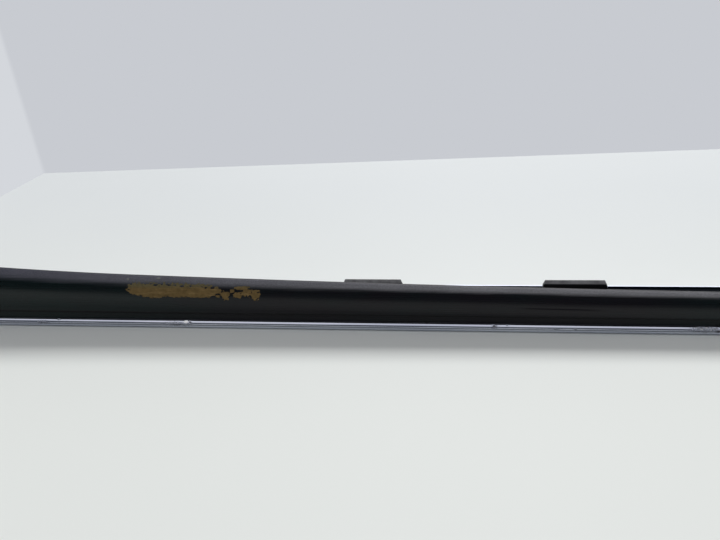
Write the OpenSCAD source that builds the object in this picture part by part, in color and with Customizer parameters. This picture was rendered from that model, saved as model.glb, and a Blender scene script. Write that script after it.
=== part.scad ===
/* [Length] */
// Length of the whole moulding, cut square at both ends
moulding_length = 720; // [460:10:900]
// Length over which the lip slowly grows taller, up to its tall end
taper_length = 660; // [300:10:900]
// How much the slow taper adds at the tall end
taper_rise = 16; // [0:0.1:18]
// Length over which the lip also flares, up to its tall end
flare_length = 132; // [60:2:300]
// How much the flare adds at the tall end
flare_rise = 3.2; // [0:0.1:6]

/* [Bright strip] */
// Thickness of the stainless sheet
strip_gauge = 0.6; // [0.4:0.05:0.8]
// Outer radius of the half-round bead along the front edge
bead_radius = 2.35; // [1.8:0.05:2.8]
// Depth of the strip from the front of its bead to its rear face
strip_depth = 13; // [12.4:0.1:15]
// Height of the strip's rear face
strip_rear_height = 20.9; // [17:0.1:22]
// Outer radius of the bend between bottom and rear face
strip_bend_radius = 1.4; // [1:0.1:2]
// Fit gap between the strip and the black body
strip_fit_gap = 0.1; // [0.05:0.05:0.2]

/* [Lip] */
// Height of the lip's crown where the lip is plain
lip_height = 20.2; // [19:0.1:26]
// Distance from the lip's front to its rear face
lip_depth = 6; // [5.4:0.1:6.4]
// Height of the shadow groove between bead and belly
groove_height = 3.35; // [2:0.05:4]
// Height of the belly's rounded lower edge
belly_edge = 1.6; // [0.8:0.1:2.4]
// Height of the shoulder that rounds the belly's flat front into the sloping top
shoulder_height = 10; // [6:0.1:11]
// Depth of the sloping top, from its front edge to the crown
top_depth = 2.6; // [1.8:0.1:3.6]
// Fall of the sloping top, from the crown to its front edge
top_fall = 2.3; // [1.4:0.1:3]
// Radius of the crown's rear edge
crown_radius = 1.1; // [0.6:0.1:1.4]
// Part of a rise that goes into the sloping top
top_rise_share = 0.16; // [0:0.02:0.2]
// Part of a rise that goes into the groove
groove_rise_share = 0.04; // [0:0.02:0.2]

/* [Floor and flange] */
// Thickness of the body's floor
floor_thickness = 3.9; // [3.2:0.1:5]
// Thickness of the rear flange
flange_thickness = 1.2; // [0.9:0.1:1.6]
// How far the bright strip stands above the rear flange
flange_drop = 2; // [0.4:0.1:3]
// Radius of the two corners at the channel's floor
channel_corner_radius = 1.2; // [0.6:0.1:1.8]

/* [Clips] */
// Distance from an end of the moulding to its first clip's centre
clip_end_distance = 55.5; // [30:0.5:80]
// Length of a clip
clip_length = 31; // [20:0.5:40]
// How far a clip's ends are cut back at the top
clip_end_cut = 1; // [0.4:0.1:2]
// Height of the slanting cut at a clip's ends
clip_end_cut_height = 2.4; // [1:0.1:4]
// Height that a clip rises above the rear flange
clip_rise = 6.3; // [4:0.1:8]
// Thickness of a clip's rear plate
clip_plate = 2; // [1.6:0.1:2.4]
// Thickness of a clip's foot
clip_foot = 1.4; // [1:0.1:2]
// Thickness of a clip's front leg
clip_leg = 1; // [0.7:0.1:1.2]
// Height of a clip's front leg above the channel's floor
clip_leg_height = 9; // [5:0.5:14]
// Width of the slope along a clip's top front edge
clip_chamfer = 1.4; // [1:0.1:1.6]
// Gap between a clip and the channel's walls
clip_fit_gap = 0.1; // [0.05:0.05:0.2]

/* [Hidden] */

// Fineness of the true curves, and steps of each rounded stretch of the body's outline
$fn = 48;
top_steps = 7;
shoulder_steps = 7;
belly_steps = 9;
edge_steps = 3;
nose_steps = 8;
corner_steps = 5;
// Handles of the lip's curves, as parts of the stretch that each one spans
top_handle = 0.45;
shoulder_top_handle = 0.45;
shoulder_low_handle = 0.35;
belly_handle = 0.8;
// Number of lofted stretches along the flare, and along the rest of the taper
flare_stretches = 8;
taper_stretches = 14;

// Where the body's faces lie
half_length = moulding_length / 2;
body_bottom = strip_gauge + strip_fit_gap;
nose_radius = bead_radius - body_bottom;
groove_face = bead_radius + strip_fit_gap;
groove_top = 2 * bead_radius + groove_height;
channel_floor = body_bottom + floor_thickness;
body_rear = strip_depth - body_bottom;
body_bend_radius = strip_bend_radius - body_bottom;
flange_face = body_rear - flange_thickness;
flange_top = strip_rear_height - flange_drop;
flange_round = flange_thickness / 3;
crown_front = lip_depth - crown_radius;

// Where the clips sit
clip_count = 7;
clip_pitch = (moulding_length - 2 * clip_end_distance) / (clip_count - 1);
clip_top = flange_top + clip_rise;
clip_rear = flange_face - clip_fit_gap;
clip_front = lip_depth + clip_fit_gap;

// Vector of length 1 along v
function unit(v) = v / norm(v);

// Points of an arc about c from angle a to angle b
function arc(c, r, a, b, steps) =
    [for (i = [0 : steps]) c + r * [cos(a + (b - a) * i / steps), sin(a + (b - a) * i / steps)]];

// Point at t on the cubic curve with ends p, s and handles q, r
function curve_point(p, q, r, s, t) =
    pow(1 - t, 3) * p + 3 * t * pow(1 - t, 2) * q + 3 * t * t * (1 - t) * r + pow(t, 3) * s;

// Points along that curve, its last one left out
function curve(p, q, r, s, steps) =
    [for (i = [0 : steps - 1]) curve_point(p, q, r, s, i / steps)];

// Height that a slope which ends level adds at a distance from the tall end
function slope_rise(distance, length, rise) = rise * pow(max(0, 1 - distance / length), 2);

// How much the lip has risen at a distance from the tall end
function rise_at(distance) =
    slope_rise(distance, taper_length, taper_rise) + slope_rise(distance, flare_length, flare_rise);

// Outer side of the section, from the crown down the front, along the bottom and up the rear.
// The belly's front is at y = 0, and what a rise adds goes mostly into its flat stretch.
function outer_side(rise) = let (
    crown = [crown_front, lip_height + rise],
    brow = crown - [top_depth, top_fall + top_rise_share * rise],
    low = [groove_face, groove_top + groove_rise_share * rise],
    shoulder = min(shoulder_height, brow[1] - low[1] - belly_edge),
    front = [0, brow[1] - shoulder],
    brow_line = unit(unit(crown - brow) + unit(brow - front)),
    top_pull = top_depth * top_handle
) concat(
    curve(crown, crown - [top_pull, 0], brow + brow_line * top_pull, brow, top_steps),
    curve(brow, brow - brow_line * shoulder * shoulder_top_handle,
          front + [0, shoulder * shoulder_low_handle], front, shoulder_steps),
    curve(front, [0, low[1] + belly_edge], low - [groove_face * belly_handle, 0],
          low, belly_steps),
    [low, [groove_face, bead_radius + nose_radius]],
    arc([bead_radius, bead_radius], nose_radius, 90, 270, nose_steps),
    arc([body_rear - body_bend_radius, body_bottom + body_bend_radius], body_bend_radius,
        270, 360, corner_steps),
    arc([body_rear - flange_round, flange_top - flange_round], flange_round, 0, 90, edge_steps)
);

// Inner side, from the crown down the lip's rear face, across the floor and up the flange,
// with as many points as the outer side so that each pair spans the wall
function inner_side(rise) = let (
    wall_top = [lip_depth, lip_height + rise - crown_radius],
    wall_foot = [lip_depth, channel_floor + channel_corner_radius],
    wall_steps = shoulder_steps + belly_steps + 2
) concat(
    arc([crown_front, wall_top[1]], crown_radius, 90 - 90 / top_steps, 0, top_steps - 1),
    [for (i = [1 : wall_steps]) wall_top + (wall_foot - wall_top) * i / (wall_steps + 1)],
    arc([lip_depth, channel_floor] + channel_corner_radius * [1, 1], channel_corner_radius,
        180, 270, nose_steps),
    arc([flange_face, channel_floor] + channel_corner_radius * [-1, 1], channel_corner_radius,
        270, 360, corner_steps),
    arc([flange_face + flange_round, flange_top - flange_round], flange_round, 180, 90, edge_steps)
);

// Solid skinned through the sections at these distances from the tall end
module loft(stations) {
    pairs = len(outer_side(0));
    ring = 2 * pairs;
    last = ring * (len(stations) - 1);
    points = [for (d = stations) let (
        outer = outer_side(rise_at(d)),
        inner = inner_side(rise_at(d)))
        each [for (i = [0 : ring - 1]) let (p = i < pairs ? outer[i] : inner[ring - 1 - i])
            [d - half_length, p[0], p[1]]]];
    skin = [for (s = [0 : len(stations) - 2], i = [0 : ring - 1]) let (
        a = s * ring + i,
        b = s * ring + (i + 1) % ring)
        each [[a, a + ring, b], [b, a + ring, b + ring]]];
    cap = [for (i = [0 : pairs - 2]) each [[i, i + 1, ring - 2 - i], [i, ring - 2 - i, ring - 1 - i]]];
    far_cap = [for (f = cap) [last + f[0], last + f[2], last + f[1]]];
    polyhedron(points, concat(skin, cap, far_cap));
}

// Moves a piece that is drawn from the bead's front onto the moulding's centre line
module centred() {
    translate([0, -strip_depth / 2, 0])
        children();
}

// Black body: front lip, floor and rear flange in one extrusion
module channel_body() {
    flare_end = min(flare_length, taper_length, moulding_length);
    taper_end = min(taper_length, moulding_length);
    color([0.05, 0.05, 0.055])
        centred()
            loft(concat(
                [for (i = [0 : flare_stretches]) flare_end * i / flare_stretches],
                [for (i = [1 : taper_stretches])
                    flare_end + (taper_end - flare_end) * i / taper_stretches],
                taper_end < moulding_length ? [moulding_length] : []));
}

// Ring sector between two right angles, as one bend of a sheet seen from its end
module sheet_bend(outer, quarter) {
    rotate(90 * quarter)
        intersection() {
            difference() {
                circle(outer);
                circle(outer - strip_gauge);
            }
            square(outer);
        }
}

// Bright strip: one folded sheet with the bead in front, flat below and upright behind
module bright_strip() {
    flat_end = strip_depth - strip_bend_radius;
    color([0.78, 0.79, 0.82])
        centred()
            rotate([90, 0, 90])
                linear_extrude(moulding_length, center = true) {
                    translate([bead_radius, bead_radius]) {
                        sheet_bend(bead_radius, 1);
                        sheet_bend(bead_radius, 2);
                    }
                    translate([bead_radius, 0])
                        square([flat_end - bead_radius, strip_gauge]);
                    translate([flat_end, strip_bend_radius])
                        sheet_bend(strip_bend_radius, 3);
                    translate([strip_depth - strip_gauge, strip_bend_radius])
                        square([strip_gauge, strip_rear_height - strip_bend_radius]);
                }
}

// Side view of a clip: foot on the channel's floor, short front leg and tall rear plate
module clip_side() {
    polygon([
        [clip_front, channel_floor],
        [clip_rear, channel_floor],
        [clip_rear, clip_top],
        [clip_rear - clip_plate + clip_chamfer, clip_top],
        [clip_rear - clip_plate, clip_top - clip_chamfer],
        [clip_rear - clip_plate, channel_floor + clip_foot],
        [clip_front + clip_leg, channel_floor + clip_foot],
        [clip_front + clip_leg, channel_floor + clip_leg_height],
        [clip_front, channel_floor + clip_leg_height]
    ]);
}

// Front view of a clip, with upright ends that slant inwards below the top
module clip_front_view() {
    right = [
        [clip_length / 2, channel_floor],
        [clip_length / 2, clip_top - clip_end_cut_height],
        [clip_length / 2 - clip_end_cut, clip_top]
    ];
    polygon(concat(right, [for (i = [len(right) - 1 : -1 : 0]) [-right[i][0], right[i][1]]]));
}

// One clip of the row, which stands centred on the moulding's length. Its front view, cut out of
// a longer profile, sets its length.
module clip(number) {
    color([0.2, 0.2, 0.21])
        centred()
            translate([(number - (clip_count + 1) / 2) * clip_pitch, 0, 0])
                intersection() {
                    rotate([90, 0, 90])
                        linear_extrude(2 * clip_length, center = true)
                            clip_side();
                    rotate([90, 0, 0])
                        linear_extrude(2 * strip_depth, center = true)
                            clip_front_view();
                }
}

channel_body();
bright_strip();
clip(1);  // clip_1
clip(2);  // clip_2
clip(3);  // clip_3
clip(4);  // clip_4
clip(5);  // clip_5
clip(6);  // clip_6
clip(7);  // clip_7
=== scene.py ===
"""Window moulding: a black channel extrusion with a folded bright strip and a row of clips.

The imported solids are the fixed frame. Each operator replaces a group of them with finely lofted
surfaces of the same sizes, and gives them their finish, wear and dirt. All lengths are in metres.
"""

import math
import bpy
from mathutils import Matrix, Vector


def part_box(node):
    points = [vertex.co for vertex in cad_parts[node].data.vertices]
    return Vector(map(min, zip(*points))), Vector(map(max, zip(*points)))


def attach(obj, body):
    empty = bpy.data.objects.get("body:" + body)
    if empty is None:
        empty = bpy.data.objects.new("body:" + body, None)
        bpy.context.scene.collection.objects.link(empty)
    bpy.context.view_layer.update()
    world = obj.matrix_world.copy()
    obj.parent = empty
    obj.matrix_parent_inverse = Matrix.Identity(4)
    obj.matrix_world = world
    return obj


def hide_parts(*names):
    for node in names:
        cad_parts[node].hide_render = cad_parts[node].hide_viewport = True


bl_info = {
    "name": "Window Moulding",
    "version": (1, 0, 0),
    "blender": (4, 5, 0),
    "location": "View3D > Sidebar > Moulding",
    "description": "Surfaces, finishes, light and camera for a vehicle window moulding",
    "category": "Add Mesh",
}

import bmesh
import bpy
import numpy as np
from bpy.props import FloatProperty, FloatVectorProperty, PointerProperty
from bpy.types import Operator, Panel, PropertyGroup
from mathutils import Matrix, Vector, noise

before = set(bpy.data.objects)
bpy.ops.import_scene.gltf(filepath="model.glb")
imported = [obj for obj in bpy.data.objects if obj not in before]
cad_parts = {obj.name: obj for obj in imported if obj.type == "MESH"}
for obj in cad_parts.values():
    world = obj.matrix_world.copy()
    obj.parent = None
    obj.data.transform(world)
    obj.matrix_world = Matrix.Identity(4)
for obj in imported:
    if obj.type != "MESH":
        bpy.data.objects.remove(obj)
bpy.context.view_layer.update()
STRIP_LOW, STRIP_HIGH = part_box("bright_strip")
LENGTH, DEPTH, REAR_HEIGHT = STRIP_HIGH - STRIP_LOW
TALL_END = STRIP_LOW.x
CLIP_COUNT = sum(node.startswith("clip_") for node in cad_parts)
MM = 0.001


# Properties


def size(name, description, millimetres):
    """A length that a user can change, with its default in millimetres"""
    return FloatProperty(
        name=name,
        description=description,
        default=millimetres * MM,
        min=0,
        precision=5,
        unit="LENGTH",
    )


def share(name, description, default):
    """A part of something, from 0 to 1"""
    return FloatProperty(
        name=name, description=description, default=default, min=0, max=1, subtype="FACTOR"
    )


def angle(name, description, degrees):
    """An angle that a user can change, with its default in degrees"""
    return FloatProperty(
        name=name, description=description, default=math.radians(degrees), unit="ROTATION"
    )


def colour(name, description, default):
    """A linear colour"""
    return FloatVectorProperty(
        name=name, description=description, default=default, size=3, min=0, max=1, subtype="COLOR"
    )


class StripSizes(PropertyGroup):
    """Sizes of the folded bright strip"""

    gauge: size("Gauge", "Thickness of the stainless sheet", 0.6)
    bead_radius: size("Bead radius", "Outer radius of the half-round front bead", 2.35)
    bend_radius: size("Bend radius", "Outer radius of the bend below the rear face", 1.4)
    fit_gap: size("Fit gap", "Gap between the strip and the black body", 0.1)


class BodySizes(PropertyGroup):
    """Sizes of the black channel body"""

    lip_height: size("Lip height", "Height of the crown where the lip is plain", 20.2)
    taper_length: size("Taper length", "Length over which the lip slowly grows taller", 660)
    taper_rise: size("Taper rise", "What the slow taper adds at the tall end", 16)
    flare_length: size("Flare length", "Length over which the lip also flares", 132)
    flare_rise: size("Flare rise", "What the flare adds at the tall end", 3.2)
    lip_depth: size("Lip depth", "Distance from the lip's front to its rear face", 6)
    groove_height: size("Groove height", "Height of the groove above the bead", 3.35)
    belly_edge: size("Belly edge", "Height of the belly's rounded lower edge", 1.6)
    shoulder_height: size("Shoulder height", "Height of the rounding below the top", 10)
    top_depth: size("Top depth", "Depth of the sloping top", 2.6)
    top_fall: size("Top fall", "Fall of the sloping top", 2.3)
    crown_radius: size("Crown radius", "Radius of the crown's rear edge", 1.1)
    top_rise_share: share("Top rise share", "Part of a rise that goes into the top", 0.16)
    groove_rise_share: share("Groove rise share", "Part of a rise in the groove", 0.04)
    floor_thickness: size("Floor thickness", "Thickness of the channel's floor", 3.9)
    flange_thickness: size("Flange thickness", "Thickness of the rear flange", 1.2)
    flange_drop: size("Flange drop", "How far the strip stands above the flange", 2)
    corner_radius: size("Corner radius", "Radius of the corners in the channel", 1.2)
    station_gap: size("Station gap", "Distance between two sections of the loft", 5)
    unevenness: size("Unevenness", "Depth of the slight waves in the extrusion", 0.02)


class ClipSizes(PropertyGroup):
    """Sizes of the retaining clips"""

    end_distance: size("End distance", "From an end to the first clip's centre", 55.5)
    length: size("Length", "Length of a clip", 31)
    end_cut: size("End cut", "How far a clip's ends are cut back at the top", 1)
    end_cut_height: size("End cut height", "Height of the slanting cut at the ends", 2.4)
    rise: size("Rise", "Height of a clip above the rear flange", 6.3)
    plate: size("Plate", "Thickness of the rear plate", 2)
    foot: size("Foot", "Thickness of the foot", 1.4)
    leg: size("Leg", "Thickness of the front leg", 1)
    leg_height: size("Leg height", "Height of the front leg", 9)
    chamfer: size("Chamfer", "Width of the slope along the top front edge", 1.4)
    fit_gap: size("Fit gap", "Gap to the channel's walls", 0.1)
    edge_round: size("Edge rounding", "Width of the rounding on every moulded edge", 0.2)


class GlueSizes(PropertyGroup):
    """Sizes of the hardened glue on the lip"""

    thickness: size("Thickness", "Thickness of the glue film", 0.3)
    grain: size("Grain", "Distance between the film's mesh points", 0.25)
    raggedness: share("Raggedness", "How far the noise eats into the film's edge", 0.9)


class Finishes(PropertyGroup):
    """Colours of the finishes"""

    black_plastic: colour("Black plastic", "Body of the moulding", (0.0038, 0.0028, 0.0054))
    green_cast: colour("Green cast", "Parts of the black body", (0, 0.0075, 0.0075))
    # Pale band painted on the lip's sloping top as a highlight, lighter towards the low end
    bloom_far: colour("Bloom, tall end", "Weathered top of the lip", (0.118, 0.118, 0.155))
    bloom_near: colour("Bloom, low end", "Weathered top of the lip", (0.295, 0.292, 0.31))
    dust: colour("Dust", "Dust on the faces that look up", (0.28, 0.28, 0.29))
    stainless: colour("Stainless", "Bright strip", (0.71, 0.74, 0.83))
    clip_plastic: colour("Clip plastic", "Retaining clips", (0.009, 0.009, 0.0095))
    glue: colour("Glue", "Hardened tan glue", (0.178, 0.113, 0.037))


class StageSettings(PropertyGroup):
    """Floor, surroundings, light and camera"""

    floor: colour("Floor", "Pale table top", (0.83, 0.855, 0.82))
    # Painted shade: the table top darker close to the walls
    floor_rear: colour("Floor, rear", "Table top close to the walls", (0.745, 0.775, 0.775))
    rear_wall: colour("Rear wall", "Surroundings behind the table", (0.578, 0.597, 0.637))
    side_wall: colour("Side wall", "Surroundings at the left of the table", (0.658, 0.679, 0.716))
    room: colour("Room", "Dim surroundings in front of the table", (0.1, 0.105, 0.115))
    sky: FloatProperty(name="Sky", description="Brightness overhead in front", default=0.73, min=0)
    rear_sky: FloatProperty(
        name="Rear sky", description="Brightness overhead behind", default=0.16, min=0
    )
    key_power: FloatProperty(
        name="Key light", description="Power of the lamp", default=190, min=0, unit="POWER"
    )
    camera_pitch: angle("Camera pitch", "How far the camera looks down", 26.657)
    camera_yaw: angle("Camera yaw", "How far the camera looks to the right", -6.624)
    camera_roll: angle("Camera roll", "Clockwise turn of the camera", 2.839)
    camera_lens: FloatProperty(
        name="Lens", description="Focal length on a 36 mm sensor", default=27.25, min=1,
        subtype="DISTANCE_CAMERA",
    )


# Plane curves, as arrays of (y, z) points


def unit(vector):
    return vector / np.linalg.norm(vector)


def arc(centre, radius, start, end, steps):
    """Points of an arc from one angle to another, in degrees"""
    turn = np.radians(np.linspace(start, end, steps + 1))
    return np.array(centre) + radius * np.stack([np.cos(turn), np.sin(turn)], axis=1)


def curve(p, q, r, s, steps):
    """Points of the cubic curve with ends p, s and handles q, r, its last one left out"""
    t = np.linspace(0, 1, steps, endpoint=False)[:, None]
    u = 1 - t
    return u**3 * p + 3 * t * u**2 * q + 3 * t**2 * u * r + t**3 * s


def straight(p, q, steps):
    """Points of a straight line, its last one left out"""
    return p + (q - p) * np.linspace(0, 1, steps, endpoint=False)[:, None]


# Section of the channel body

# Steps of the curves in both sections, and how far the body's curve handles reach
TOP_STEPS, SHOULDER_STEPS, BELLY_STEPS, WALL_STEPS, ROUND_STEPS = 18, 24, 26, 12, 8
BEAD_STEPS = 40
TOP_HANDLE, SHOULDER_TOP_HANDLE, SHOULDER_LOW_HANDLE, BELLY_HANDLE = 0.45, 0.45, 0.35, 0.8


def slope_rise(distance, length, rise):
    """Height that a slope which ends level adds at a distance from the tall end"""
    return rise * max(0, 1 - distance / length) ** 2


def rise_at(body, x):
    distance = x - TALL_END
    return slope_rise(distance, body.taper_length, body.taper_rise) + slope_rise(
        distance, body.flare_length, body.flare_rise
    )


def lip_front(body, strip, rise):
    """The lip's face from the crown down to the groove's top edge"""
    groove_face = strip.bead_radius + strip.fit_gap
    crown = np.array([body.lip_depth - body.crown_radius, body.lip_height + rise])
    brow = crown - [body.top_depth, body.top_fall + body.top_rise_share * rise]
    groove_top = 2 * strip.bead_radius + body.groove_height + body.groove_rise_share * rise
    low = np.array([groove_face, groove_top])
    shoulder = min(body.shoulder_height, brow[1] - low[1] - body.belly_edge)
    front = np.array([0, brow[1] - shoulder])
    brow_line = unit(unit(crown - brow) + unit(brow - front))
    top_pull = body.top_depth * TOP_HANDLE
    return np.vstack([
        curve(crown, crown - [top_pull, 0], brow + brow_line * top_pull, brow, TOP_STEPS),
        curve(
            brow,
            brow - brow_line * shoulder * SHOULDER_TOP_HANDLE,
            front + [0, shoulder * SHOULDER_LOW_HANDLE],
            front,
            SHOULDER_STEPS,
        ),
        curve(
            front,
            np.array([0, low[1] + body.belly_edge]),
            low - [groove_face * BELLY_HANDLE, 0],
            low,
            BELLY_STEPS,
        ),
        [low],
    ])


def body_section(body, strip, rise):
    """Closed outline of the channel body, from the crown down the front and back up inside"""
    bottom = strip.gauge + strip.fit_gap
    rear = DEPTH - bottom
    nose = strip.bead_radius - bottom
    bend = strip.bend_radius - bottom
    flange_top = REAR_HEIGHT - body.flange_drop
    flange_round = body.flange_thickness / 3
    flange_face = rear - body.flange_thickness
    floor = bottom + body.floor_thickness
    corner = body.corner_radius
    wall_top = body.lip_height + rise - body.crown_radius
    return np.vstack([
        lip_front(body, strip, rise),
        [[strip.bead_radius + strip.fit_gap, strip.bead_radius + nose]],
        arc([strip.bead_radius, strip.bead_radius], nose, 90, 270, 2 * ROUND_STEPS),
        arc([rear - bend, bottom + bend], bend, 270, 360, ROUND_STEPS),
        arc([rear - flange_round, flange_top - flange_round], flange_round, 0, 90, ROUND_STEPS),
        arc([flange_face + flange_round, flange_top - flange_round], flange_round, 90, 180,
            ROUND_STEPS),
        arc([flange_face - corner, floor + corner], corner, 0, -90, ROUND_STEPS),
        arc([body.lip_depth + corner, floor + corner], corner, 270, 180, ROUND_STEPS),
        straight(
            np.array([body.lip_depth, floor + corner]),
            np.array([body.lip_depth, wall_top]),
            WALL_STEPS,
        )[1:],
        arc([body.lip_depth - body.crown_radius, wall_top], body.crown_radius, 0, 90,
            ROUND_STEPS)[:-1],
    ])


def strip_section(strip):
    """Closed outline of the folded sheet: bead, flat bottom and upright rear face"""
    bead, bend, gauge = strip.bead_radius, strip.bend_radius, strip.gauge
    flat_end = DEPTH - bend
    return np.vstack([
        arc([bead, bead], bead, 90, 270, BEAD_STEPS),
        arc([flat_end, bend], bend, 270, 360, ROUND_STEPS),
        [[DEPTH, REAR_HEIGHT], [DEPTH - gauge, REAR_HEIGHT]],
        arc([flat_end, bend], bend - gauge, 360, 270, ROUND_STEPS),
        arc([bead, bead], bead - gauge, 270, 90, BEAD_STEPS // 2),
    ])


# Meshes


def new_object(name, mesh):
    """Object for a mesh, linked into the scene"""
    made = bpy.data.objects.new(name, mesh)
    bpy.context.scene.collection.objects.link(made)
    return made


def as_piece(piece, slot, material, *nodes):
    """Gives a piece its material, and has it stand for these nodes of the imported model"""
    piece.data.materials.clear()
    piece.data.materials.append(material)
    if nodes:
        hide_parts(*nodes)
    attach(piece, "root")
    return piece


def smooth(mesh, sharp_from):
    """Smooth shading with creases where faces meet at more than an angle, in degrees"""
    mesh.shade_smooth()
    mesh.set_sharp_from_angle(angle=math.radians(sharp_from))


def loft(name, stations, rings):
    """Mesh skinned through one closed ring of (y, z) points a station, with closed ends"""
    count, around = len(stations), len(rings[0])
    points = np.empty((count, around, 3))
    points[:, :, 0] = np.array(stations)[:, None]
    points[:, :, 1:] = rings
    points[:, :, 1] -= DEPTH / 2
    index = np.arange(count * around).reshape(count, around)
    beside = np.roll(index, -1, axis=1)
    quads = np.stack([index[:-1], beside[:-1], beside[1:], index[1:]], axis=-1).reshape(-1, 4)
    mesh = bpy.data.meshes.new(name)
    ends = [index[0][::-1].tolist(), index[-1].tolist()]
    mesh.from_pydata(points.reshape(-1, 3), [], quads.tolist() + ends)
    return mesh


def mesh_points(mesh):
    points = np.empty(len(mesh.vertices) * 3)
    mesh.vertices.foreach_get("co", points)
    return points.reshape(-1, 3)


def press_in(mesh, depths):
    """Moves each point inwards, along its normal, by its own depth"""
    normals = np.empty(len(mesh.vertices) * 3)
    mesh.vertex_normals.foreach_get("vector", normals)
    moved = mesh_points(mesh) - normals.reshape(-1, 3) * depths[:, None]
    mesh.vertices.foreach_set("co", moved.ravel())
    mesh.update()


def store(mesh, name, values):
    """Keeps one number a point, for a material to read"""
    attribute = mesh.attributes.new(name, "FLOAT", "POINT")
    attribute.data.foreach_set("value", np.asarray(values, dtype=np.float32))


# Materials

# Tints of small worn or dirty places, of painted shade, painted shadow and a painted reflection, as
# linear colours
# Painted shade, darkening the black body's faces that look down
PAINTED_UNDERSIDE_SHADE = (0.001, 0.001, 0.0015)
DULL_STEEL, SCUFFED_STEEL = (0.54, 0.57, 0.68), (0.16, 0.16, 0.17)
CHIPPED_STEEL = (0.86, 0.86, 0.84)
# The first is a painted reflection, a dark line along the bead's front; the second is for stains
PAINTED_REFLECTION_STEEL, STAINED_STEEL = (0.1, 0.105, 0.13), (0.05, 0.05, 0.055)
DARK_GLUE, PALE_GLUE, STAINED_GLUE = (0.122, 0.08, 0.027), (0.28, 0.185, 0.075), (0.05, 0.04, 0.022)
OLIVE_GLUE, GREY_GLUE = (0.135, 0.12, 0.06), (0.22, 0.22, 0.21)
# The low colour paints shadow along the glue's thin lower edges; the high colour is thin glue
THIN_GLUE_PAINTED_SHADOW, HIGH_RIM = (0.035, 0.025, 0.014), (0.12, 0.11, 0.07)
# Height of the painted reflection line on the bead's front
PAINTED_REFLECTION_HEIGHT = 2.5 * MM


class Tree:
    """Short way to write a material's nodes"""

    def __init__(self, owner):
        owner.use_nodes = True
        self.tree = owner.node_tree

    def set(self, target, socket, value):
        """Links a socket into an input, or sets the input's own value"""
        entry = target.inputs[socket]
        if isinstance(value, bpy.types.NodeSocket):
            self.tree.links.new(value, entry)
        elif isinstance(entry.default_value, float) or isinstance(value, (int, float)):
            entry.default_value = value
        else:
            fill = tuple(value)
            entry.default_value = fill + (1,) * (len(entry.default_value) - len(fill))

    def add(self, kind, inputs=None, **settings):
        """Adds a node with these inputs and settings"""
        made = self.tree.nodes.new("ShaderNode" + kind)
        for name, value in settings.items():
            setattr(made, name, value)
        for socket, value in (inputs or {}).items():
            self.set(made, socket, value)
        return made

    def math(self, operation, a, b=0.0, clamp=False):
        made = self.add("Math", {0: a, 1: b}, operation=operation, use_clamp=clamp)
        return made.outputs[0]

    def fade(self, value, low, high, start=0.0, end=1.0):
        """Smooth step from start to end while value goes from low to high"""
        made = self.add(
            "MapRange",
            {"Value": value, "From Min": low, "From Max": high, "To Min": start, "To Max": end},
            interpolation_type="SMOOTHSTEP",
        )
        return made.outputs[0]

    def mix(self, factor, a, b):
        made = self.add("Mix", {0: factor, 6: a, 7: b}, data_type="RGBA")
        return made.outputs[2]

    def grain(self, scale, detail=3.0, rough=0.55, distortion=0.0):
        """Noise on the object's own coordinates, with a scale a metre along each axis"""
        place = self.add("TexCoord").outputs["Object"]
        stretched = self.add("Mapping", {"Vector": place, "Scale": scale})
        made = self.add(
            "TexNoise",
            {
                "Vector": stretched.outputs[0],
                "Scale": 1.0,
                "Detail": detail,
                "Roughness": rough,
                "Distortion": distortion,
            },
        )
        return made.outputs["Fac"]

    def facing_up(self):
        """How far the surface looks up, from -1 to 1"""
        return self.add("SeparateXYZ", {0: self.add("TexCoord").outputs["Normal"]}).outputs[2]

    def place(self):
        """Place on the object: along, across and up, in metres"""
        return self.add("SeparateXYZ", {0: self.add("TexCoord").outputs["Object"]}).outputs

    def bump(self, height, depth, strength=1.0):
        """Normal of a relief that is depth metres from its lowest to its highest place"""
        made = self.add("Bump", {"Height": height, "Distance": depth, "Strength": strength})
        return made.outputs[0]


def surface(name):
    """New material, its node helper and its Principled shader"""
    material = bpy.data.materials.new(name)
    tree = Tree(material)
    return material, tree, tree.tree.nodes["Principled BSDF"]


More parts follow.
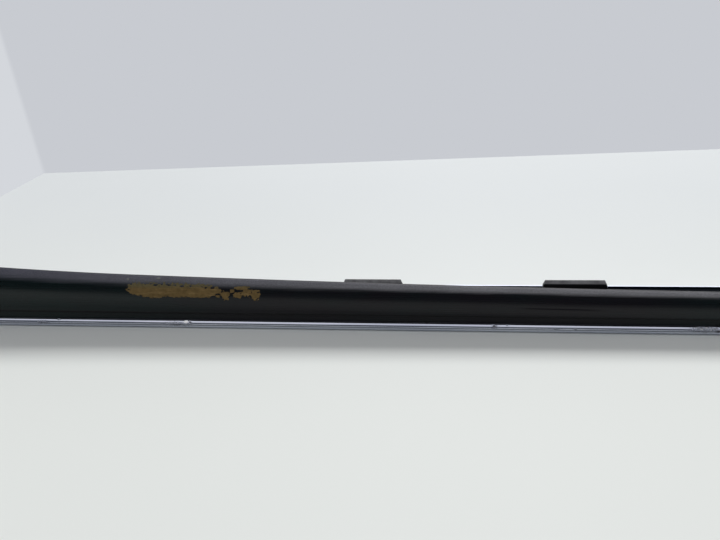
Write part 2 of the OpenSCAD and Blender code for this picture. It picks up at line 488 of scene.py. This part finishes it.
def black_plastic(finish):
    """Satin extruded plastic: long drawing lines, fine grain, dust on what looks up, specks, a
    painted highlight on the lip's sloping top and painted shade on faces that look down
    """
    material, tree, shader = surface("satin_black_plastic")
    lines = tree.grain((9, 620, 620), detail=4)
    grain = tree.grain((1900, 1900, 1900), detail=2)
    patches = tree.grain((26, 90, 90), detail=4)
    look_up = tree.facing_up()
    settled = tree.math("MULTIPLY", tree.fade(look_up, 0.35, 0.95), tree.fade(patches, 0.2, 0.8))
    spots = tree.add(
        "TexVoronoi", {"Vector": tree.add("TexCoord").outputs["Object"], "Scale": 130.0}
    )
    near = tree.fade(spots.outputs["Distance"], 0.035, 0.06, 1, 0)
    rare = tree.fade(tree.add("SeparateColor", {0: spots.outputs["Color"]}).outputs[0], 0.86, 0.88)
    speck = tree.math("MULTIPLY", near, rare)
    along, across, _ = tree.place()
    # The pale band on the lip's sloping top is a painted highlight, bounded by height across the
    # lip and by how far the face looks up
    streaks = tree.grain((30, 900, 900), detail=4)
    border = tree.math("ADD", across, tree.fade(streaks, 0, 1, -0.35 * MM, 0.35 * MM))
    soft_edge = tree.fade(along, -0.25, -0.05, -5.0 * MM, -4.4 * MM)
    painted_highlight_band = tree.math(
        "MULTIPLY", tree.fade(border, soft_edge, -3.2 * MM), tree.fade(across, -1.3 * MM, -2.2 * MM)
    )
    painted_highlight_band = tree.math("MULTIPLY", painted_highlight_band, tree.fade(look_up, 0.05, 0.3))
    # Colour of the painted highlight, lighter towards the low end; grain and patches break it up,
    # and faces that look straight up keep less of it
    highlight_tone = tree.mix(tree.fade(along, -0.36, 0), finish.bloom_far, finish.bloom_near)
    worn = tree.math(
        "ADD", tree.fade(grain, 0.25, 0.75, 0, 0.3), tree.fade(look_up, 0.8, 1, 0, 0.4)
    )
    worn = tree.math("ADD", worn, tree.fade(patches, 0.35, 0.7, 0, 0.15), clamp=True)
    highlight_tone = tree.mix(worn, highlight_tone, finish.black_plastic)
    cast = tree.math(
        "ADD", tree.fade(along, -0.14, -0.3, 0, 0.8), tree.fade(along, 0.02, 0.06, 0, 0.45)
    )
    cast = tree.math("ADD", cast, tree.fade(patches, 0.4, 0.7, 0, 0.4), clamp=True)
    plain = tree.mix(cast, finish.black_plastic, finish.green_cast)
    # Painted shade: faces that look down are darker
    plain = tree.mix(tree.fade(look_up, -0.1, -0.35), plain, PAINTED_UNDERSIDE_SHADE)
    base = tree.mix(painted_highlight_band, plain, highlight_tone)
    dusty = tree.math("ADD", tree.math("MULTIPLY", settled, 0.05), speck, clamp=True)
    tree.set(shader, "Base Color", tree.mix(dusty, base, finish.dust))
    rough = tree.math("MULTIPLY_ADD", lines, 0.16)
    rough.node.inputs[2].default_value = 0.2
    rough = tree.math("ADD", rough, tree.math("MULTIPLY", painted_highlight_band, 0.45))
    rough = tree.math("ADD", rough, tree.fade(look_up, -0.12, -0.4, 0, 0.5), clamp=True)
    tree.set(shader, "Roughness", tree.math("ADD", rough, tree.math("MULTIPLY", speck, 0.4)))
    relief = tree.math("ADD", tree.math("MULTIPLY", lines, 0.6), tree.math("MULTIPLY", grain, 0.4))
    relief = tree.math("ADD", relief, speck)
    tree.set(shader, "Normal", tree.bump(relief, 0.02 * MM))
    tree.set(shader, "IOR", 1.34)
    return material


def stainless(finish):
    """Bright stainless sheet with fine drawing lines, scuffs, chips and stains, and a painted dark
    reflection along the bead's front
    """
    material, tree, shader = surface("bright_stainless")
    lines = tree.grain((14, 1500, 1500), detail=5)
    cloud = tree.grain((16, 260, 260), detail=4)
    crumbs = tree.grain((2600, 2600, 2600), detail=3)
    worn = tree.add("Attribute", attribute_name="scuff").outputs["Fac"]
    scuffed = tree.math("MULTIPLY", worn, tree.fade(crumbs, 0.42, 0.62), clamp=True)
    chipped = tree.add("Attribute", attribute_name="chip").outputs["Fac"]
    dull = tree.mix(tree.fade(cloud, 0.3, 0.75), finish.stainless, DULL_STEEL)
    dark = tree.mix(scuffed, dull, SCUFFED_STEEL)
    dark = tree.mix(chipped, dark, CHIPPED_STEEL)
    stained = tree.add("Attribute", attribute_name="stain").outputs["Fac"]
    _, across, up = tree.place()
    # Painted reflection: a dark line along the bead's front, at a fixed height
    off_line = tree.math("ABSOLUTE", tree.math("SUBTRACT", up, PAINTED_REFLECTION_HEIGHT))
    on_front = tree.fade(across, -4 * MM, -4.4 * MM)
    painted_reflection = tree.math("MULTIPLY", tree.fade(off_line, 0.1 * MM, 0.5 * MM, 0.75, 0), on_front)
    dark = tree.mix(painted_reflection, dark, PAINTED_REFLECTION_STEEL)
    tree.set(shader, "Base Color", tree.mix(stained, dark, STAINED_STEEL))
    rough = tree.math("MULTIPLY_ADD", lines, 0.1)
    rough.node.inputs[2].default_value = 0.05
    rough = tree.math("ADD", rough, tree.math("MULTIPLY", worn, 0.3))
    rough = tree.math("ADD", rough, tree.fade(tree.facing_up(), -0.3, -0.7, 0, 0.35))
    sheared = tree.fade(up, REAR_HEIGHT - 0.1 * MM, REAR_HEIGHT - 0.02 * MM)
    tree.set(shader, "Roughness", tree.math("ADD", rough, tree.math("MULTIPLY", sheared, 0.5)))
    tree.set(shader, "Metallic", 1.0)
    relief = tree.math("ADD", lines, tree.math("MULTIPLY", scuffed, 7.0))
    tree.set(shader, "Normal", tree.bump(relief, 0.012 * MM))
    return material


def clip_plastic(finish):
    """Matt moulded plastic with a fine spark-eroded grain, a little dust and a painted highlight on
    its sloping chamfers
    """
    material, tree, shader = surface("matt_clip_plastic")
    grain = tree.grain((1400, 1400, 1400), detail=3)
    patches = tree.grain((150, 150, 150), detail=4)
    look_up = tree.facing_up()
    settled = tree.math("MULTIPLY", tree.fade(look_up, 0.2, 0.7), tree.fade(patches, 0.1, 0.7))
    # Dust on what looks up, far heavier on sloping chamfers than on flat tops, so the chamfers
    # carry a painted highlight
    dusty = tree.math("MULTIPLY", settled, tree.fade(look_up, 0.97, 0.8, 0.15, 0.72))
    tree.set(shader, "Base Color", tree.mix(dusty, finish.clip_plastic, finish.dust))
    rough = tree.math("MULTIPLY_ADD", patches, 0.2)
    rough.node.inputs[2].default_value = 0.32
    tree.set(shader, "Roughness", rough)
    tree.set(shader, "Normal", tree.bump(grain, 0.03 * MM))
    return material


def hard_glue(finish):
    """Hardened tan glue: mottled, matt and gritty, with painted shadow along its thin lower edges
    """
    material, tree, shader = surface("hardened_glue")
    mottle = tree.grain((420, 420, 420), detail=5, rough=0.65)
    grit = tree.grain((2600, 2600, 2600), detail=4, rough=0.7)
    thick = tree.add("Attribute", attribute_name="thick").outputs["Fac"]
    drawn = tree.grain((160, 900, 900), detail=4, rough=0.6)
    tan = tree.mix(tree.fade(mottle, 0.3, 0.72), finish.glue, DARK_GLUE)
    tan = tree.mix(tree.fade(drawn, 0.5, 0.72, 0, 0.6), tan, PALE_GLUE)
    stained = tree.mix(tree.fade(grit, 0.56, 0.76), tan, STAINED_GLUE)
    _, _, up = tree.place()
    olive = tree.mix(tree.fade(up, 23.5 * MM, 26 * MM, 0, 0.75), stained, OLIVE_GLUE)
    olive = tree.mix(tree.fade(up, 27 * MM, 28 * MM), olive, GREY_GLUE)
    # Thin edges of the film: painted shadow along the lower ones, thin glue along the upper ones
    rim = tree.mix(tree.fade(up, 22 * MM, 24 * MM), THIN_GLUE_PAINTED_SHADOW, HIGH_RIM)
    tree.set(shader, "Base Color", tree.mix(tree.fade(thick, 0.05, 0.35), rim, olive))
    tree.set(shader, "Roughness", tree.fade(mottle, 0.2, 0.8, 0.65, 0.9))
    relief = tree.math("ADD", mottle, tree.math("MULTIPLY", grit, 0.6))
    tree.set(shader, "Normal", tree.bump(relief, 0.2 * MM))
    tree.set(shader, "Specular IOR Level", 0.3)
    return material


# Wear of the bead: place along the moulding, half length, turn about the bead, half turn,
# depth of the dent, and how much of it is scuff or chip
BEAD_MARKS = (
    (-285.1, 3.2, 165, 28, 0.10, "scuff"),
    (-276.0, 1.0, 120, 14, 0.12, "scuff"),
    (-207.0, 7.5, 170, 40, 0.10, "scuff"),
    (-202.6, 1.5, 132, 24, 0.18, "chip"),
    (-200.4, 0.9, 140, 16, 0.16, "stain"),
    (-73.6, 1.0, 104, 12, 0.12, "stain"),
    (-39.3, 1.5, 140, 24, 0.12, "stain"),
    (-33.0, 0.6, 130, 9, 0.1, "stain"),
    (-9.5, 0.5, 163, 7, 0.08, "stain"),
    (0.5, 0.8, 171, 8, 0.08, "stain"),
    (61.0, 6.5, 150, 48, 0.12, "scuff"),
    (57.6, 0.6, 118, 10, 0.08, "chip"),
    (60.2, 0.5, 146, 8, 0.08, "chip"),
    (62.4, 0.5, 124, 9, 0.08, "chip"),
    (64.6, 0.4, 158, 8, 0.08, "chip"),
    (66.5, 2.4, 140, 26, 0.18, "scuff"),
    (68.0, 1.5, 172, 18, 0.12, "stain"),
    (148.0, 2.0, 140, 20, 0.10, "scuff"),
    (262.0, 3.0, 160, 30, 0.08, "scuff"),
)
MARK_STATION_GAP = 0.35 * MM


# Hairline crease on the lip's face, in millimetres: height at the middle of the moulding, fall a
# millimetre, and where it starts and ends
CREASE_LINE = (14.6, 0.0167, -31, 15)
CREASE_HALF_WIDTH, CREASE_FADE, CREASE_DEPTH = 0.5, 8, 0.3 * MM


# Operators


class MOULDING_OT_channel_body(Operator):
    """Loft the black channel body with its tapering lip"""

    bl_idname = "moulding.channel_body"
    bl_label = "Channel body"
    bl_options = {"REGISTER", "UNDO"}

    def execute(self, context):
        body, strip = context.scene.moulding_body, context.scene.moulding_strip
        count = round(LENGTH / body.station_gap)
        stations = np.linspace(TALL_END, TALL_END + LENGTH, count + 1)
        rings = [body_section(body, strip, rise_at(body, x)) for x in stations]
        mesh = loft("channel_extrusion", stations, rings)
        smooth(mesh, 32)
        waves = np.array([
            noise.noise(Vector((x / (45 * MM), y / (4 * MM), z / (4 * MM))))
            for x, y, z in mesh_points(mesh)
        ])
        press_in(mesh, body.unevenness * (0.5 + 0.5 * waves) + self.crease(mesh))
        finish = black_plastic(context.scene.moulding_finish)
        as_piece(new_object("channel_extrusion", mesh), "black_body", finish, "channel_body")
        return {"FINISHED"}

    @staticmethod
    def crease(mesh):
        """Depth of the hairline crease on the lip's face, at each point"""
        x, y, z = mesh_points(mesh).T / MM
        middle, slope, start, end = CREASE_LINE
        beside = np.abs(z - middle + slope * x) / CREASE_HALF_WIDTH
        ends = np.clip((x - start) / CREASE_FADE, 0, 1) * np.clip((end - x) / CREASE_FADE, 0, 1)
        return CREASE_DEPTH * np.clip(1 - beside, 0, 1) * ends * (y < 0)


class MOULDING_OT_bright_strip(Operator):
    """Fold the bright strip and wear its bead"""

    bl_idname = "moulding.bright_strip"
    bl_label = "Bright strip"
    bl_options = {"REGISTER", "UNDO"}

    def execute(self, context):
        strip = context.scene.moulding_strip
        stations = set(np.linspace(TALL_END, TALL_END + LENGTH, 121).round(6))
        for place, half, *_ in BEAD_MARKS:
            reach = 1.4 * half * MM
            dense = np.arange(place * MM - reach, place * MM + reach, MARK_STATION_GAP)
            stations.update(dense.round(6))
        stations = sorted(stations)
        mesh = loft("folded_strip", stations, [strip_section(strip)] * len(stations))
        smooth(mesh, 32)
        self.wear(mesh, strip)
        finish = stainless(context.scene.moulding_finish)
        as_piece(new_object("folded_strip", mesh), "bright_metal", finish, "bright_strip")
        return {"FINISHED"}

    @staticmethod
    def wear(mesh, strip):
        """Dents the bead at its marks and keeps how scuffed or chipped each point is"""
        points = mesh_points(mesh)
        bead_y = strip.bead_radius - DEPTH / 2
        turn = np.degrees(np.arctan2(points[:, 2] - strip.bead_radius, points[:, 1] - bead_y))
        turn = np.where(turn < 0, turn + 360, turn)
        outside = np.hypot(points[:, 1] - bead_y, points[:, 2] - strip.bead_radius)
        on_bead = (outside > strip.bead_radius - strip.gauge / 2) & (points[:, 1] < bead_y + MM)
        crumble = np.array([noise.noise(Vector(p) / (0.7 * MM)) for p in points])
        dents = np.zeros(len(points))
        kept = {kind: np.zeros(len(points)) for kind in ("scuff", "chip", "stain")}
        for place, half, middle, half_turn, depth, kind in BEAD_MARKS:
            away = np.hypot((points[:, 0] / MM - place) / half, (turn - middle) / half_turn)
            inside = np.clip(1.25 - away + 0.5 * crumble, 0, 1) * on_bead
            dents = np.maximum(dents, depth * MM * inside)
            kept[kind] = np.maximum(kept[kind], inside)
        press_in(mesh, dents)
        for kind, values in kept.items():
            store(mesh, kind, values)


class MOULDING_OT_clips(Operator):
    """Mould the row of retaining clips in the channel"""

    bl_idname = "moulding.clips"
    bl_label = "Retaining clips"
    bl_options = {"REGISTER", "UNDO"}

    def execute(self, context):
        clip, body = context.scene.moulding_clip, context.scene.moulding_body
        finish = clip_plastic(context.scene.moulding_finish)
        shape = self.shape(clip, body, context.scene.moulding_strip)
        pitch = (LENGTH - 2 * clip.end_distance) / (CLIP_COUNT - 1)
        for number in range(1, CLIP_COUNT + 1):
            mesh = shape.copy()
            place = (number - (CLIP_COUNT + 1) / 2) * pitch
            mesh.transform(Matrix.Translation((place, 0, 0)))
            mesh.name = f"retaining_clip_{number}"
            as_piece(new_object(mesh.name, mesh), "clip_plastic", finish, f"clip_{number}")
        return {"FINISHED"}

    @staticmethod
    def shape(clip, body, strip):
        """Mesh of one clip: its side profile, cut by its front outline, with rounded edges"""
        floor = strip.gauge + strip.fit_gap + body.floor_thickness
        top = REAR_HEIGHT - body.flange_drop + clip.rise
        rear = DEPTH - strip.gauge - strip.fit_gap - body.flange_thickness - clip.fit_gap
        front = body.lip_depth + clip.fit_gap
        side = [
            (front, floor),
            (rear, floor),
            (rear, top),
            (rear - clip.plate + clip.chamfer, top),
            (rear - clip.plate, top - clip.chamfer),
            (rear - clip.plate, floor + clip.foot),
            (front + clip.leg, floor + clip.foot),
            (front + clip.leg, floor + clip.leg_height),
            (front, floor + clip.leg_height),
        ]
        half = clip.length / 2
        right = [(half, floor), (half, top - clip.end_cut_height), (half - clip.end_cut, top)]
        outline = right + [(-x, z) for x, z in reversed(right)]
        profile = prism([(0, y - DEPTH / 2, z) for y, z in side], (2 * clip.length, 0, 0))
        cutter = prism([(x, 0, z) for x, z in outline], (0, 2 * DEPTH, 0))
        cut = profile.modifiers.new("ends", "BOOLEAN")
        cut.operation, cut.object, cut.solver = "INTERSECT", cutter, "EXACT"
        rounding = profile.modifiers.new("moulded_edges", "BEVEL")
        rounding.width, rounding.segments = clip.edge_round, 2
        rounding.limit_method, rounding.angle_limit = "ANGLE", math.radians(30)
        graph = bpy.context.evaluated_depsgraph_get()
        mesh = bpy.data.meshes.new_from_object(profile.evaluated_get(graph))
        for helper in (profile, cutter):
            bpy.data.objects.remove(helper)
        smooth(mesh, 40)
        return mesh


def prism(outline, sweep):
    """Object of a flat outline, swept half of sweep to both sides"""
    made = bmesh.new()
    half = Vector(sweep) / 2
    base = made.faces.new([made.verts.new(Vector(p) - half) for p in outline])
    swept = bmesh.ops.extrude_face_region(made, geom=[base])["geom"]
    moved = [v for v in swept if isinstance(v, bmesh.types.BMVert)]
    bmesh.ops.translate(made, verts=moved, vec=Vector(sweep))
    bmesh.ops.recalc_face_normals(made, faces=made.faces)
    mesh = bpy.data.meshes.new("prism")
    made.to_mesh(mesh)
    made.free()
    return new_object("prism", mesh)


# Patches of hardened glue on the lip: place along the moulding, height, half length, half height
GLUE_PATCHES = (
    (-226.0, 23.7, 5.5, 3.3),
    (-217.0, 22.9, 11.0, 4.0),
    (-204.0, 23.0, 15.0, 3.7),
    (-192.0, 22.6, 11.5, 3.5),
    (-184.5, 22.7, 4.4, 2.3),
    (-182.0, 20.1, 1.6, 0.6),
    (-178.2, 21.1, 2.9, 1.5),
    (-177.9, 19.6, 1.8, 1.8),
    (-174.4, 22.9, 1.2, 1.0),
    (-171.4, 20.7, 2.7, 1.5),
    (-169.0, 24.2, 4.2, 1.1),
    (-166.8, 22.1, 3.2, 2.0),
    (-162.2, 20.8, 2.9, 2.8),
    (-230.8, 28.6, 0.9, 0.45),
    (-214.0, 28.9, 1.2, 0.35),
)
# Holes in it, in the same form
GLUE_HOLES = (
    (-215.7, 25.8, 1.5, 0.6),
    (-208.5, 25.7, 0.8, 0.55),
    (-201.4, 25.1, 1.5, 0.6),
    (-196.6, 25.2, 0.7, 0.55),
    (-188.4, 24.4, 1.0, 0.6),
    (-184.8, 24.3, 1.5, 0.6),
    (-182.3, 21.2, 1.4, 0.4),
    (-174.9, 20.5, 0.9, 0.9),
    (-170.9, 22.8, 2.0, 0.6),
)
# First and last place along the moulding, lowest and highest place of the film's mesh
GLUE_REACH = (-233.0, -158.0, 16.5, 29.6)
# How far the film's hidden back lies below its face, as a multiple of its thickness
GLUE_BACK = 1.3


class MOULDING_OT_glue(Operator):
    """Spread the hardened glue on the lip"""

    bl_idname = "moulding.glue"
    bl_label = "Hardened glue"
    bl_options = {"REGISTER", "UNDO"}

    def execute(self, context):
        glue, body = context.scene.moulding_glue, context.scene.moulding_body
        left, right, low, high = (value * MM for value in GLUE_REACH)
        xs = np.arange(left, right, glue.grain)
        zs = np.arange(low, high, glue.grain)
        film, back, thick = [], [], []
        for x in xs:
            face = lip_front(body, context.scene.moulding_strip, rise_at(body, x))[::-1]
            ys = np.interp(zs, face[:, 1], face[:, 0])
            lean = np.gradient(ys, zs)
            out = np.stack([-np.ones_like(lean), lean], axis=1)
            out /= np.linalg.norm(out, axis=1)[:, None]
            for y, z, normal in zip(ys, zs, out):
                amount = self.amount(x / MM, z / MM, glue.raggedness)
                height = glue.thickness * min(amount, 1) - body.unevenness / 2
                proud = max(y + normal[0] * height, 0)
                sunk = height - GLUE_BACK * glue.thickness
                film.append((x, proud - DEPTH / 2, z + normal[1] * height))
                back.append((x, y + normal[0] * sunk - DEPTH / 2, z + normal[1] * sunk))
                thick.append(amount)
        points, thick = np.array(film + back), np.array(thick)
        index = np.arange(len(film)).reshape(len(xs), len(zs))
        quads = np.stack(
            [index[:-1, :-1], index[1:, :-1], index[1:, 1:], index[:-1, 1:]], axis=-1
        ).reshape(-1, 4)
        quads = quads[thick[quads].max(axis=1) > 0]
        sides = np.concatenate([np.roll(quads, turn, axis=1)[:, :2] for turn in range(4)])
        _, first, shared = np.unique(
            np.sort(sides, axis=1), axis=0, return_index=True, return_counts=True
        )
        rim = sides[first[shared == 1]]
        walls = np.hstack([rim[:, ::-1], rim + len(film)])
        faces = np.concatenate([quads, quads[:, ::-1] + len(film), walls])
        used = np.unique(faces)
        renumber = np.zeros(len(points), dtype=int)
        renumber[used] = np.arange(len(used))
        mesh = bpy.data.meshes.new("glue_film")
        mesh.from_pydata(points[used], [], renumber[faces].tolist())
        smooth(mesh, 60)
        store(mesh, "thick", np.clip(np.tile(thick, 2)[used], 0, 1))
        finish = hard_glue(context.scene.moulding_finish)
        as_piece(new_object("glue_film", mesh), "black_body", finish)
        return {"FINISHED"}

    @staticmethod
    def amount(x, z, raggedness):
        """Thickness of the film at a place in millimetres, as a part of its full thickness;
        it is below 0 where the lip is bare"""
        within, hole = (
            max(
                1 - ((x - place) / length) ** 2 - ((z - height) / width) ** 2
                for place, height, length, width in spots
            )
            for spots in (GLUE_PATCHES, GLUE_HOLES)
        )
        crumble = noise.fractal(Vector((x / 1.5, 0, z / 0.9)), 0.6, 2.2, 5)
        streaks = noise.noise(Vector((x / 3.0, 7, z / 0.4)))
        loose = min(max((z - 21.5) / 2.5, (x + 183) / 3, 0), 1)
        film = 1.9 * within + raggedness * ((0.6 + 1.3 * loose) * crumble - 0.1) + 0.35 * streaks
        return film - 3 * max(hole, 0)


# The table's rear left corner, its turn and the turn of the walls' corner in degrees, its length
# and depth, and where lamp and camera stand
TABLE_CORNER, TABLE_TURN, TABLE_SIZE = (-0.482, 0.2964, 0), 3.7, (2.4, 1.9)
WALL_CORNER_TURN = 36.65
LAMP_PLACE, LAMP_SIZE = (0.5, 3.4, 3.65), (3, 1.55)
CAMERA_PLACE = (-0.0789, -0.24563, 0.15687)


class MOULDING_OT_stage(Operator):
    """Set up the floor, the surroundings, the lamp and the camera"""

    bl_idname = "moulding.stage"
    bl_label = "Stage"
    bl_options = {"REGISTER", "UNDO"}

    def execute(self, context):
        settings = context.scene.moulding_stage
        context.scene.view_settings.view_transform = "Standard"
        self.floor(settings)
        self.surroundings(settings)
        self.lamp(settings)
        self.camera(settings)
        return {"FINISHED"}

    @staticmethod
    def floor(settings):
        """Table top whose far and left edges lie where the photo's walls meet it"""
        along, across = TABLE_SIZE
        made = bmesh.new()
        made.faces.new([
            made.verts.new(p)
            for p in ((0, -across, 0), (along, -across, 0), (along, 0, 0), (0, 0, 0))
        ])
        mesh = bpy.data.meshes.new("table_top")
        made.to_mesh(mesh)
        made.free()
        turned = Matrix.Rotation(math.radians(TABLE_TURN), 4, "Z")
        mesh.transform(Matrix.Translation(TABLE_CORNER) @ turned)
        material, tree, shader = surface("pale_table")
        haze = tree.grain((5, 5, 5), detail=2)
        across = tree.place()[1]
        # Painted shade: darker towards the walls
        base = tree.mix(tree.fade(across, -0.1, 0.25), settings.floor, settings.floor_rear)
        tree.set(shader, "Base Color", tree.mix(haze, base, tree.mix(0.97, (0, 0, 0), base)))
        tree.set(shader, "Roughness", 0.6)
        tree.set(shader, "Specular IOR Level", 0.2)
        mesh.materials.append(material)
        new_object("table_top", mesh)

    @staticmethod
    def surroundings(settings):
        """Pale walls behind and at the left, a dim room in front and a bright ceiling"""
        world = bpy.data.worlds.new("light_box")
        bpy.context.scene.world = world
        tree = Tree(world)
        where = tree.add("TexCoord").outputs["Generated"]
        x, y, z = tree.add("SeparateXYZ", {0: where}).outputs
        corner = math.radians(WALL_CORNER_TURN)
        off_corner = tree.math(
            "ADD",
            tree.math("MULTIPLY", x, math.cos(corner)),
            tree.math("MULTIPLY", y, math.sin(corner)),
        )
        beyond = tree.fade(off_corner, -0.004, 0.004)
        wall = tree.mix(beyond, settings.side_wall, settings.rear_wall)
        around = tree.mix(tree.fade(y, 0.15, -0.35), wall, settings.room)
        height = tree.fade(tree.math("SUBTRACT", z, tree.fade(y, 0.1, -0.2, 0, 0.22)), 0.24, 0.5)
        white = Vector((1, 1, 1.04))
        overhead = tree.mix(
            tree.fade(y, -0.1, 0.4), white * settings.sky, white * settings.rear_sky
        )
        background = tree.tree.nodes["Background"]
        tree.set(background, "Color", tree.mix(height, around, overhead))
        tree.set(background, "Strength", 1.0)

    @staticmethod
    def lamp(settings):
        """One broad soft lamp, above and behind the moulding"""
        light = bpy.data.lights.new("key_light", "AREA")
        light.energy, light.color = settings.key_power, (1, 1, 1)
        light.shape, light.size, light.size_y = "RECTANGLE", *LAMP_SIZE
        lamp = new_object("key_light", light)
        lamp.location = LAMP_PLACE
        lamp.rotation_euler = (-lamp.location).to_track_quat("-Z", "Y").to_euler()

    @staticmethod
    def camera(settings):
        """Camera at the photo's place and angle"""
        data = bpy.data.cameras.new("camera")
        data.lens, data.sensor_width = settings.camera_lens, 36
        camera = new_object("camera", data)
        level = Matrix.Rotation(-settings.camera_yaw, 3, "Z") @ Matrix.Rotation(
            math.pi / 2 - settings.camera_pitch, 3, "X"
        )
        turned = level @ Matrix.Rotation(-settings.camera_roll, 3, "Z")
        place = Matrix.Translation(CAMERA_PLACE)
        camera.matrix_world = place @ turned.to_4x4()
        bpy.context.scene.camera = camera


class MOULDING_PT_panel(Panel):
    """Sizes, finishes and build steps of the moulding"""

    bl_idname = "MOULDING_PT_panel"
    bl_label = "Window moulding"
    bl_space_type = "VIEW_3D"
    bl_region_type = "UI"
    bl_category = "Moulding"

    def draw(self, context):
        for name, (_, operator) in PARTS.items():
            box = self.layout.box()
            settings = getattr(context.scene, name)
            for prop in settings.bl_rna.properties:
                if prop.identifier in settings.__annotations__:
                    box.prop(settings, prop.identifier)
            if operator:
                box.operator(operator.bl_idname)


PARTS = {
    "moulding_finish": (Finishes, None),
    "moulding_strip": (StripSizes, MOULDING_OT_bright_strip),
    "moulding_body": (BodySizes, MOULDING_OT_channel_body),
    "moulding_clip": (ClipSizes, MOULDING_OT_clips),
    "moulding_glue": (GlueSizes, MOULDING_OT_glue),
    "moulding_stage": (StageSettings, MOULDING_OT_stage),
}


def register():
    for name, (group, operator) in PARTS.items():
        bpy.utils.register_class(group)
        setattr(bpy.types.Scene, name, PointerProperty(type=group))
        if operator:
            bpy.utils.register_class(operator)
    bpy.utils.register_class(MOULDING_PT_panel)


def unregister():
    bpy.utils.unregister_class(MOULDING_PT_panel)
    for name, (group, operator) in reversed(PARTS.items()):
        if operator:
            bpy.utils.unregister_class(operator)
        delattr(bpy.types.Scene, name)
        bpy.utils.unregister_class(group)


def main():
    register()
    bpy.ops.moulding.stage()
    bpy.ops.moulding.channel_body()
    bpy.ops.moulding.bright_strip()
    bpy.ops.moulding.clips()
    bpy.ops.moulding.glue()


if __name__ == "__main__":
    main()
